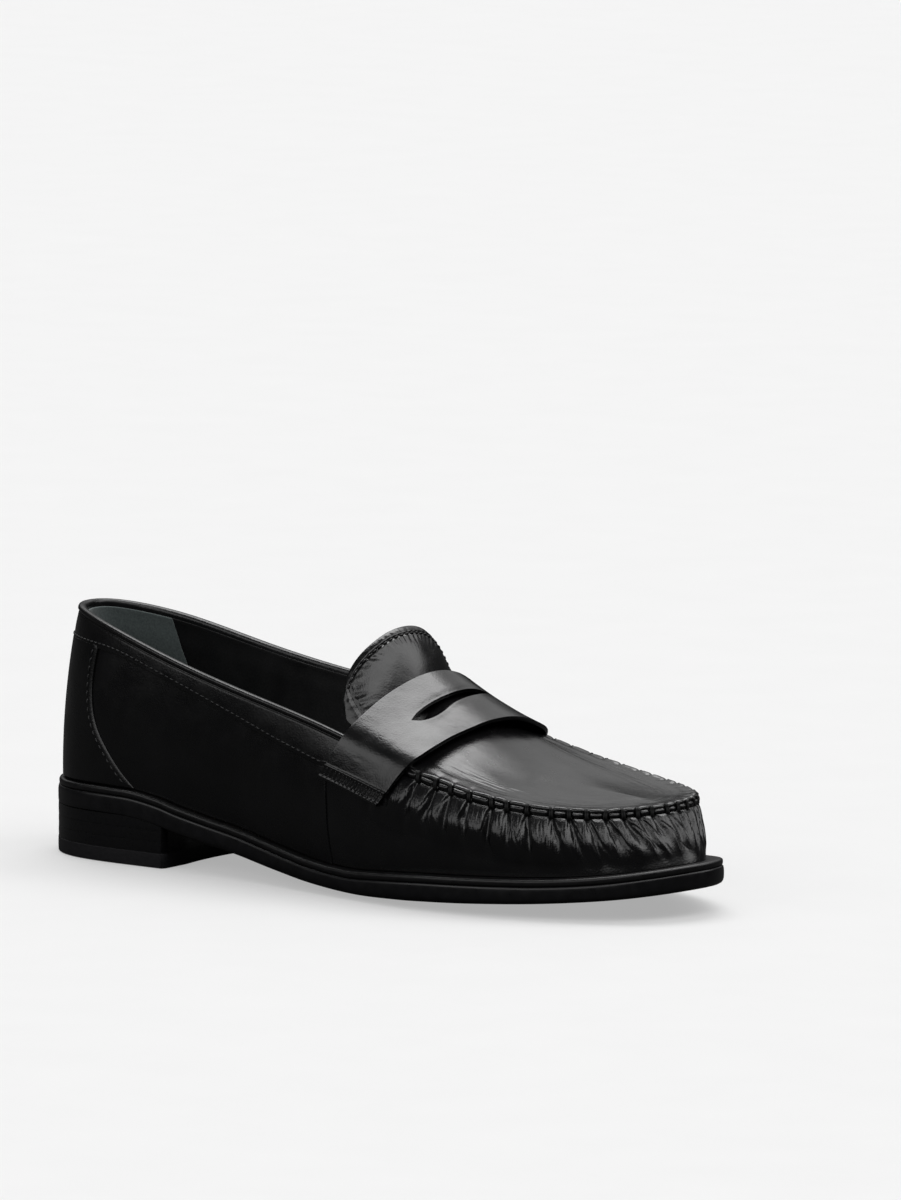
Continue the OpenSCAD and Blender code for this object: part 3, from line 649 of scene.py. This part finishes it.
def pleats(s, h):
    """Displacement of the gathered wall at station s, h millimetres below the seam."""
    a = arc(s)
    a = a + 0.45 * noise(a * 0.35, h * 0.22, 1) * smooth(h, 1, 6)
    out = np.zeros(np.broadcast(a, h).shape)
    groove = out.copy()
    for k in KNOT_ARC:
        reach = rng.uniform(8, 17)
        tilt = slant_at(k) + rng.uniform(-0.08, 0.08)
        deep = rng.uniform(0.8, 1.15)
        x = a - k - tilt * h
        width = 0.85 + 0.07 * h
        groove = np.maximum(groove, deep * np.exp(-(x / width) ** 2) * np.exp(-(h / reach) ** 2))
        # finer folds that fan out from the same stitch
        for sign in (-1, 1, rng.choice((-1, 1))):
            if rng.random() < 0.65:
                spread, start = sign * rng.uniform(0.06, 0.34), rng.uniform(0.2, 2.0)
                length, depth = rng.uniform(4, 11), rng.uniform(0.12, 0.30)
                x = a - k - sign * 0.5 - (tilt + spread) * h
                ends = smooth(h, start, start + 1.2) * (1 - smooth(h, length, length + 4))
                out -= depth * np.exp(-(x / (0.26 + 0.02 * h)) ** 2) * ends
    # the lobes between the stitches, flatter round the toe
    puff = smooth(h, -2.0, 8.0) * (1 - smooth(h, 8.0, 18.5))
    round_toe = np.exp(-((s - 11.7) / 1.8) ** 2)
    lobes = (2.5 - 1.9 * round_toe) * puff * (1 - 0.66 * np.minimum(groove, 1)) - 1.05 * groove
    lobes = lobes + 0.35 * smooth(h, -1, 1.5) * (1 - smooth(h, 1.5, 7))
    crinkle = (np.abs(noise(a * 1.3, h * 0.09, 5)) + 0.7 * np.abs(noise(a * 2.6, h * 0.16, 6))) * 0.2
    crinkle += 0.035 * noise(a * 4.6, h * 0.4, 16)
    crinkle *= smooth(h, 0.3, 2) * np.exp(-((h - 6) / 6.5) ** 2)
    crinkle *= 1 - 0.6 * np.exp(-((s - 11.5) / 2) ** 2)
    slack = 0.2 * noise(a * 0.12, h * 0.12, 2)
    fade = smooth(a, arc(5.3), arc(6.4)) * (1 - smooth(a, arc(15.6), arc(16.7)))
    return (out + lobes - crinkle) * fade + slack


BAR_LOW, BAR_MID = 3.1, 1.75        # the foot and the middle of the turned-up edge, below the seam's line
BAR = [(0.15, -BAR_LOW), (0.5, -2.95), (1.3, -2.75), (1.85, -2.35), (2.05, -1.85), (1.95, -1.3), (1.55, -0.9),
       (1.0, -0.72), (0.4, -0.75), (0.0, -1.3)]


def make_vamp():
    """The gathered wall round the toes, with its turned-up edge under the seam."""
    s = np.linspace(QUARTER_FRONT - 0.15, STATIONS - QUARTER_FRONT + 0.15, 1700)[:, None]
    height = np.linalg.norm(top_at(s) - feather(s), axis=-1)
    under_strap = 1 - smooth(s, 5.6, 6.2) * (1 - smooth(s, 15.8, 16.4))
    full = 1 - BAR_LOW / height * (1 - under_strap) - 0.05 * under_strap
    v = np.linspace(0, 1, 90)[None, :] * full
    h = (1 - v) * height
    p = skin(s, v, -pleats(s, h - BAR_LOW) * smooth(v, 0.02, 0.25))
    # BAR holds (outward, up) from the seam's line; the edge is pinched at every stitch
    top, o, pin, a = top_at(s), outward(s), pinch(s), arc(s)
    fat = 1 + 0.3 * noise(a * 0.17, 0, 12)
    rows = [p]
    for side, up in BAR:
        wob = 0.16 * noise(a * 0.7, up * 0.7, 13)
        side = side - pin * 1.5 * (side > 0.4) * side / 2 + wob
        rise = -BAR_MID + (up + BAR_MID) * fat * (1 - 0.3 * pin) + 0.5 * wob - under_strap
        side = side * (1 - 0.5 * under_strap)
        rows.append(stack(top[..., 0] + o[..., 0] * side, top[..., 1] + o[..., 1] * side, top[..., 2] + rise))
    sheet("vamp_leather", np.concatenate(rows, 1), 0.7, "vamp", replaces=["vamp"], edge=0)


CROWN, SINK = 15.5, 0.8             # the apron's rise at its middle, and its drop below the seam
APRON_SPAN, APRON_FRONT_X = 4.85, 229
LENGTHS = np.linspace(0, 0.98, 60)
MID_X = (top_at(TOE - 5 * LENGTHS)[:, 0] + top_at(TOE + 5 * LENGTHS)[:, 0]) / 2


def apron_z(s, f, x):
    """Height of the apron at fraction f of the way from the seam to its middle line."""
    e, o = top_at(s)[..., 2], top_at(STATIONS - s)[..., 2]
    r = np.interp(x, MID_X[::-1], LENGTHS[::-1])
    return e + (o - e) * f / 2 + CROWN * r ** 2.1 * np.sin(np.pi * f / 2) - SINK


# The tongue: middle of its foot, middle of its tip, half width, skew, and the fall towards its sides
TONGUE_FOOT, TONGUE_TIP = np.array([148.9, 0.9, 65.8]), np.array([137.8, 4.5, 84.4])
TONGUE_HALF, TONGUE_SKEW, TONGUE_FALL = 27.9, 1.6, np.array([-7, 0, -12.6])


def apron_tab(end):
    """Rows from the apron's back edge to just ahead of the foot of the tongue, hidden by the strap."""
    q = np.clip((end[:, 1] - TONGUE_FOOT[1]) / TONGUE_HALF, -1, 1)
    foot = TONGUE_FOOT + TONGUE_FALL * (q * q)[:, None]
    room = 1.9 + 0.3 * (68 - foot[:, 2])        # the foot swings forward at the hinge's low limit
    target = stack(foot[:, 0] + TONGUE_SKEW * q + room, end[:, 1], foot[:, 2] - 0.8)
    hold = (1 - smooth(np.abs(q), 0.7, 0.95))[:, None]
    return [end + (target - end) * u * hold for u in (0.25, 0.5, 0.75, 1)]


def dip_and_lift(x, y):
    """Under the strap the apron is hidden: its outer side dips and its inner side rises, for a dark slot."""
    dip = 6 * np.exp(-((y + 12) / 9) ** 2) * smooth(x, 145, 153) * (1 - smooth(x, 157, 168))
    return dip, 4.7 * np.exp(-((y - 19) / 8) ** 2) * (1 - smooth(x, 152, 166))


# The apron's turned-over rim: (inward, up) from the seam's line
RIM = [(-0.75, -1.3), (-1.05, -0.95), (-1.18, -0.5), (-1.1, -0.05), (-0.8, 0.3), (-0.35, 0.46), (0.1, 0.46),
       (0.5, 0.34), (0.9, 0.16), (1.4, 0.04), (2.1, 0.0), (3.2, 0.0), (4.5, 0.0)]


def make_apron():
    """The piece over the toes: its rim, its face as far as the middle line, and the hidden tab."""
    s = np.linspace(TOE - APRON_SPAN, TOE + APRON_SPAN, 520)[:, None]
    q = np.abs(s - TOE) / APRON_SPAN
    edge = top_at(s)[..., :2]
    half = np.linspace(0, APRON_SPAN, 100)
    middle = (top_at(TOE - half) + top_at(TOE + half)) / 2
    mid_x = APRON_FRONT_X + (middle[-1, 0] - APRON_FRONT_X) * q ** 1.25
    mid = np.stack([mid_x, np.interp(mid_x, middle[::-1, 0], middle[::-1, 1])], -1)
    span = np.linalg.norm(mid - edge, axis=-1)
    pin, far = pinch(s), arc(s)
    wave = 0.24 * noise(far * 0.24, 0, 18)
    rows = []
    for inward, up in RIM:
        near = max(0.0, 1 - max(inward, 0) / 3.2)
        f = (inward + 0.3 * pin * near + wave * near) / span
        xy = edge + (mid - edge) * f[..., None]
        z = apron_z(s, np.maximum(f, 0), xy[..., 0]) + up + SINK - SINK * smooth(inward, 0, 9)
        z = z - (pin * 0.46 - wave) * near * (up > -1)
        rows.append(stack(xy[..., 0], xy[..., 1], z))
    f0 = RIM[-1][0] / span
    for t in np.linspace(0, 1, 96)[1:]:
        f = f0 + (1 - f0) * t
        # the rows meet the middle line square on, so no ridge shows there
        across = f + smooth(q, 0, 0.2) * smooth(f, 0.1, 0.6) * f * (1 - f)
        xy = edge + (mid - edge) * np.stack([across, f], -1)
        x, y = xy[..., 0], xy[..., 1]
        depth = f * span
        crease = 0.18 * np.abs(noise(far * 0.06, depth * 0.9, 15))
        crease = crease + 0.09 * np.abs(noise(far * 0.1, depth * 1.7, 19))
        crease = crease * np.exp(-((depth - 7) / 5.5) ** 2)
        soft = 0.1 * noise(x * 0.06, y * 0.06, 14) * smooth(depth, 4, 12)
        dip, lift = dip_and_lift(x, y)
        z = apron_z(s, f, x) - crease + soft + SINK - SINK * smooth(depth, 0, 9) - dip + lift
        rows.append(stack(x, y, z))
    p = np.stack(rows, 1).reshape(len(s), len(rows), 3)
    whole = np.concatenate([apron_tab(p[0])[::-1], p, apron_tab(p[-1])])
    sheet("apron_leather", whole, 1.0, "strap", replaces=["apron"], edge=0, weld=True)
    low = p[::4, 10::5].copy()
    low[..., 2] -= 1.35
    sheet("apron_lining_leather", low, 0.6, "lining", replaces=["apron_lining"], edge=0, weld=True)


def make_seam_thread():
    """Two thick strands over the raised edge at every stitch."""
    verts, faces = [], []
    # (outward, up) from the seam's line, and the thread's radius
    path = np.array([(0.3, -3.6), (1.0, -3.4), (1.55, -2.95), (1.7, -2.2), (1.6, -1.5), (1.35, -0.95),
                     (1.35, -0.55), (1.4, -0.15), (1.15, 0.15), (0.5, 0.15)])
    radius = 0.4 * np.array([0.7, 1, 1, 1, 1, 1, 1, 1, 0.95, 0.6])[:, None, None]
    turn = np.arange(10) / 10 * 2 * np.pi
    u = np.linspace(0, 1, len(path))
    for k, s in enumerate(np.repeat(KNOTS, 2)):
        s = np.array(s)
        top, o = top_at(s), np.append(outward(s), 0)
        fwd = np.array([-o[1], o[0], 0])
        sign = 1 if k % 2 else -1
        lean = sign * (0.4 - 0.25 * u) + np.linspace(-0.4, 0.4, len(path)) * rng.uniform(-1, 1)
        sunk = 0.32 * smooth(top[1], 4, 16) * smooth(path[:, 1:], -1.5, -0.6)
        p = top + path[:, :1] * o + (path[:, 1:] - sunk) * np.array([0, 0, 1.0]) + lean[:, None] * fwd
        t = unit(np.gradient(p, axis=0))
        side = unit(np.cross(t, fwd))
        round_it = fwd * np.cos(turn)[None, :, None] + side[:, None] * np.sin(turn)[None, :, None]
        ring = p[:, None] + round_it * radius
        faces += grid_faces(len(path), len(turn), close_j=True, base=k * len(path) * len(turn))
        verts.append(ring.reshape(-1, 3))
    add("moc_seam_thread", np.concatenate(verts), faces, "cord", replaces=["moc_stitching"])


make_vamp()
make_apron()
make_seam_thread()

# ---------------------------------------------------------------- strap
STRAP_T, STRAP_W = 1.4, 27
SPANS = len(STRAP_BACK) - 1
STITCH_ROWS = (0.09, 0.62)          # how far the two rows of stitches are from the strap's end, in spans
SLOT_FIRST, SLOT_LAST = 3.85, 7.7


def strap_point(k, w):
    """k counts spans along the strap, and w goes from its rear edge, 0, to its front edge, 1."""
    k, w = np.broadcast_arrays(k, w)
    return strap_back(k) * (1 - w[..., None]) + strap_front(k) * w[..., None]


def strap_normal(k, w):
    k, w = np.broadcast_arrays(k, w)
    a, b = np.clip(k - 0.05, 0, SPANS), np.clip(k + 0.05, 0, SPANS)
    return -unit(np.cross(strap_point(k, 1.0) - strap_point(k, 0.0), strap_point(b, w) - strap_point(a, w)))


def strap_dome(w):
    """How far the strap's middle stands over its edges."""
    return 0.55 * np.sin(np.pi * w)


# The slot's two edges: w at k
slot_rear = profile([(SLOT_FIRST, 0.48), (4.2, 0.43), (4.7, 0.398), (5.4, 0.385), (6.1, 0.368), (6.7, 0.345),
                     (7.2, 0.335), (SLOT_LAST, 0.33)])
slot_front = profile([(SLOT_FIRST, 0.48), (4.05, 0.565), (4.35, 0.605), (4.8, 0.59), (5.3, 0.54),
                      (5.9, 0.508), (6.4, 0.482), (6.9, 0.435), (7.3, 0.385), (SLOT_LAST, 0.33)])


def make_strap():
    """The strap, dented by its stitches, as two bands of the grid with the slot left open between them."""
    k = np.linspace(0, SPANS, 420)[:, None]
    t = np.clip((2 * k - SLOT_FIRST - SLOT_LAST) / (SLOT_LAST - SLOT_FIRST), -1, 1)
    opening = np.sqrt(np.maximum(0, 1 - t * t))
    rear = slot_rear(np.clip(k, SLOT_FIRST, SLOT_LAST))
    front = np.maximum(slot_front(np.clip(k, SLOT_FIRST, SLOT_LAST)), rear)
    columns = 44
    a = np.linspace(0, 1, columns)[None, :]
    w = np.concatenate([rear * a, front + (1 - front) * a], 1)
    dome = strap_dome(w) + 0.12 * noise(k * 1.4, w * 2.2, 21) + 0.022 * noise(k * 5, w * 11, 23)
    end = np.minimum(k, SPANS - k)
    outer, inner = STITCH_ROWS
    dome = dome - 0.28 * (np.exp(-((end - outer) / 0.05) ** 2) + np.exp(-((end - inner) / 0.06) ** 2))
    dome = dome - 0.13 * (1 - smooth(end, 0.55, 0.7)) * (0.5 + 0.5 * np.cos(2 * np.pi * w * 14.6))
    near = np.minimum(np.abs(w - rear), np.abs(w - front)) * STRAP_W
    lip = 0.3 * np.exp(-(near / 1.6) ** 2) * opening
    p = strap_point(k, w) + strap_normal(k, w) * (dome + lip - 0.3)[..., None]
    keep = np.ones((len(k) - 1, w.shape[1] - 1), bool)
    keep[:, columns - 1] = False
    sheet("saddle_strap_leather", p, STRAP_T, "strap", replaces=["saddle_strap"], flip=True, edge=0.4,
          weld=True, keep=keep)


def make_strap_ends():
    """Two rows of stitches and the cross stitches between them at each sewn end."""
    def on_strap(k, w):
        k, w = np.broadcast_arrays(k, w)
        n = strap_normal(k, w)
        return strap_point(k, w) + n * (strap_dome(w) - 0.22)[:, None], n

    runs, bars = [], []
    for end, sign in ((0.0, 1), (float(SPANS), -1)):
        runs += [on_strap(end + sign * row, np.linspace(0.04, 0.97, 40)) for row in STITCH_ROWS]
        for w in np.linspace(0.06, 0.95, 15) + rng.uniform(-0.012, 0.012, 15):
            bars.append(on_strap(end + sign * np.linspace(0.14, 0.57, 6), w))
    stitches("strap_stitching_thread", runs, 0.32, 2.0, 0.5, replaces=["strap_stitching"])
    stitches("strap_end_cross_threads", bars, 0.36, 3.0, 0.3)


make_strap()
make_strap_ends()

# ---------------------------------------------------------------- tongue
TONGUE_H = 22


def tongue_outline(q):
    """Height of the tongue at q, as a share of its height in the middle."""
    return 0.04 + (1 - np.abs(q) ** 4) ** 0.4


def tongue_point(q, t):
    """q goes from -1 at the outer edge to 1 at the inner edge, and t up from the foot to the rim."""
    q, t = np.broadcast_arrays(q, t)
    p = (t * tongue_outline(q))[..., None]
    back = 3.0 * smooth(-q, 0.45, 1.05) * smooth(t, 0, 0.6)
    side = stack(TONGUE_SKEW * q - back, TONGUE_HALF * q, 0)
    return TONGUE_FOOT + (TONGUE_TIP - TONGUE_FOOT) * p + TONGUE_FALL * (q * q)[..., None] + side


def tongue_normal(q, t):
    q, t = np.broadcast_arrays(q, t)
    a, b = np.clip(q - 0.02, -0.98, 0.98), np.clip(q + 0.02, -0.98, 0.98)
    return unit(np.cross(tongue_point(b, 0) - tongue_point(a, 0), TONGUE_TIP - TONGUE_FOOT))


def make_tongue():
    """The tongue with its puckered rim, its lining and the stitches along the rim."""
    q = 0.99 * np.sin(np.linspace(-1, 1, 320) * np.pi / 2)[:, None]
    t = np.linspace(0, 1, 100)[None, :]
    high = TONGUE_H * tongue_outline(q)
    # millimetres in from the rim, and along it
    rim = np.minimum((1 - t) * high, (1 - np.abs(q)) * 27)
    along = 25 * np.arctan2(q * TONGUE_HALF, t * high + 3.0)
    fold = 0.5 + 0.5 * np.cos(2 * np.pi * (along / 2.5 + 0.3 * noise(along * 0.2, 0, 32)))
    deep = 0.2 + 0.12 * noise(along * 0.3, 0, 34)
    pucker = deep * fold * (np.exp(-((rim - 4.6) / 1.5) ** 2) + 0.5 * np.exp(-((rim - 1.6) / 1.0) ** 2))
    pucker = pucker + 0.05 * np.abs(noise(along * 0.9, rim * 0.2, 31)) * np.exp(-((rim - 6) / 4) ** 2)
    groove = 0.38 * np.exp(-((rim - 3.0) / 0.55) ** 2)
    rolled = 0.8 * np.maximum(0, 1 - rim / 2.6) ** 2
    curve = 0.8 * np.sin(np.pi * t) + 0.12 * noise(q * 3, t * 3, 30) + 0.02 * noise(q * 13, t * 9, 35)
    p = tongue_point(q, t) + tongue_normal(q, t) * (curve - pucker - groove - rolled - 0.4)[..., None]
    sheet("tongue_leather", p, 1.1, "strap", "tongue", ["tongue"], edge=0.35)
    depth = 1.35 - curve[..., None] * 0.8 + 0.4
    back = tongue_point(q * 0.97, t * 0.97) - tongue_normal(q * 0.97, t) * depth
    sheet("tongue_lining_leather", back, 0.7, "lining", "tongue", ["tongue_lining"], edge=0.2)
    q = 0.9 * np.sin(np.linspace(-1, 1, 120) * np.pi / 2)
    t = 1 - 3.0 / (TONGUE_H * tongue_outline(q))
    n = tongue_normal(q, t)
    line = tongue_point(q, t) + n * (0.8 * np.sin(np.pi * t) - 0.62)[:, None]
    stitches("tongue_stitching_thread", [(line, n)], 0.3, 1.9, 0.6, "tongue", ["tongue_stitching"])


make_tongue()


# ---------------------------------------------------------------- sock
def make_sock():
    """The sock lining on top of the insole, higher over the heel pad."""
    def z_of(x):
        pad = PAD_STEP * (1 - smooth(x, 64, 90))
        return outsole_top(x) + WELT_T + FIT_GAP + INSOLE_T + FIT_GAP + SOCK_T + pad

    def row(inset, f, drop):
        edge = sole_at(ROUND)[..., 0]
        lean = np.interp(edge, [0, 190, 265], [0, 0, 2.6])[:, None]
        return towards_spine(ROUND, margin(edge)[:, None] + inset + lean, f, lambda x: z_of(x) - drop)
    rows = [row(3.6, 0, 1.2), row(3.5, 0, 0.9), row(3.5, 0, 0.35), row(3.8, 0, 0.08), row(4.4, 0, 0)]
    rows += [row(4.4, f, 0.25 * math.sin(math.pi * f)) for f in (0.08, 0.2, 0.35, 0.5, 0.7, 0.85, 1)]
    rings("sock_lining_leather", rows, "lining", ["sock_lining"])


make_sock()

# ---------------------------------------------------------------- inner pieces keep their CAD shape
for node, mat in (("heel_nails", "steel"), ("shank", "steel"), ("shank_board", "board"),
                  ("cork_filler", "cork"), ("insole", "board"), ("heel_pad", "foam"),
                  ("heel_stiffener", "stiffener"), ("toe_puff", "stiffener")):
    obj = bpy.data.objects[node]
    for slot in obj.material_slots:
        slot.material = MATS[mat]


# ---------------------------------------------------------------- floor, light, camera
def make_floor():
    """A floor that is white to the camera but bounces little light, as if dark cards stood by the shoe."""
    mesh = bpy.data.meshes.new("floor")
    n, radius, low = 96, 14.0, -0.0002
    turn = [2 * math.pi * i / n for i in range(n)]
    mesh.from_pydata([(radius * math.cos(a), radius * math.sin(a), low) for a in turn], [], [list(range(n))])
    m, nodes, links, shader = new_material("floor_paper")
    tex = surface_noise(nodes, links, 30)
    colours(nodes, links, tex.outputs["Fac"], (0.425,) * 3, (0.435,) * 3, shader.inputs["Base Color"])
    shader.inputs["Roughness"].default_value = 0.7
    shader.inputs["Specular IOR Level"].default_value = 0.1
    shader.inputs["Emission Color"].default_value = (1, 1, 1, 1)
    shader.inputs["Emission Strength"].default_value = 0.4
    dim = nodes.new("ShaderNodeBsdfDiffuse")
    dim.inputs["Color"].default_value = (0.05, 0.05, 0.05, 1)
    path, mix = nodes.new("ShaderNodeLightPath"), nodes.new("ShaderNodeMixShader")
    links.new(path.outputs["Is Camera Ray"], mix.inputs[0])
    links.new(dim.outputs[0], mix.inputs[1])
    links.new(shader.outputs[0], mix.inputs[2])
    links.new(mix.outputs[0], nodes["Material Output"].inputs["Surface"])
    mesh.materials.append(m)
    obj = bpy.data.objects.new("floor", mesh)
    bpy.context.scene.collection.objects.link(obj)


# The soft boxes: azimuth from and to, elevation from and to, softness in degrees, strength
LIGHTS = [(-88, 14, 50, 82, 7, 6.4), (24, 62, 26, 62, 8, 3.0), (62, 158, 42, 68, 7, 3.0),
          (-64, 4, 18, 50, 9, 0.85), (-212, -128, 19, 42, 7, 1.8)]
DIM, BACKDROP = 0.035, 0.92         # the studio's own light on the shoe, and what the camera sees of it


def make_world():
    """A dim studio with soft boxes at infinity, given by azimuth from +Y and by elevation."""
    world = bpy.data.worlds.new("studio")
    world.use_nodes = True
    bpy.context.scene.world = world
    nodes, links = world.node_tree.nodes, world.node_tree.links
    nodes.clear()
    coords = nodes.new("ShaderNodeTexCoord")
    xyz = nodes.new("ShaderNodeSeparateXYZ")
    links.new(coords.outputs["Generated"], xyz.inputs[0])

    def maths(op, *values):
        n = nodes.new("ShaderNodeMath")
        n.operation = op
        for socket, value in zip(n.inputs, values):
            if isinstance(value, (int, float)):
                socket.default_value = value
            else:
                links.new(value, socket)
        return n.outputs[0]

    azimuth = maths("ARCTAN2", xyz.outputs[0], xyz.outputs[1])
    height = maths("ARCSINE", xyz.outputs[2])

    def step(value, low, high):
        n = nodes.new("ShaderNodeMapRange")
        n.interpolation_type = "SMOOTHSTEP"
        n.inputs["From Min"].default_value = math.radians(low)
        n.inputs["From Max"].default_value = math.radians(high)
        links.new(value, n.inputs["Value"])
        return n.outputs["Result"]

    def box(az0, az1, el0, el1, soft, strength):
        centre = math.radians((az0 + az1) / 2)
        turned = maths("SUBTRACT", azimuth, centre)
        wrapped = maths("ABSOLUTE", maths("WRAP", turned, math.pi, -math.pi))
        half = (az1 - az0) / 2
        across = step(wrapped, half + soft, half - soft)
        up = maths("MULTIPLY", step(height, el0 - soft, el0 + soft), step(height, el1 + soft, el1 - soft))
        return maths("MULTIPLY", maths("MULTIPLY", across, up), strength)

    total = DIM
    for light in LIGHTS:
        total = maths("ADD", box(*light), total)
    path = nodes.new("ShaderNodeLightPath")
    pick = nodes.new("ShaderNodeMix")
    links.new(path.outputs["Is Camera Ray"], pick.inputs[0])
    links.new(total, pick.inputs[2])
    pick.inputs[3].default_value = BACKDROP
    back = nodes.new("ShaderNodeBackground")
    links.new(pick.outputs[0], back.inputs["Strength"])
    out = nodes.new("ShaderNodeOutputWorld")
    links.new(back.outputs[0], out.inputs[0])


def make_camera():
    """The photograph's camera; its place, direction and lens come from the same fit as SOLE and TOP."""
    cam = bpy.data.cameras.new("camera")
    cam.lens = 333.5
    cam.sensor_width = 36
    cam.clip_end = 100
    obj = bpy.data.objects.new("camera", cam)
    obj.location = place((2349.9, -2915.4, 602.7))
    ahead = Vector((-0.59504, 0.79181, -0.13770))
    obj.rotation_euler = ahead.to_track_quat("-Z", "Y").to_euler()
    bpy.context.scene.collection.objects.link(obj)
    bpy.context.scene.camera = obj


make_floor()
make_world()
make_camera()
bpy.context.scene.view_settings.view_transform = "Standard"
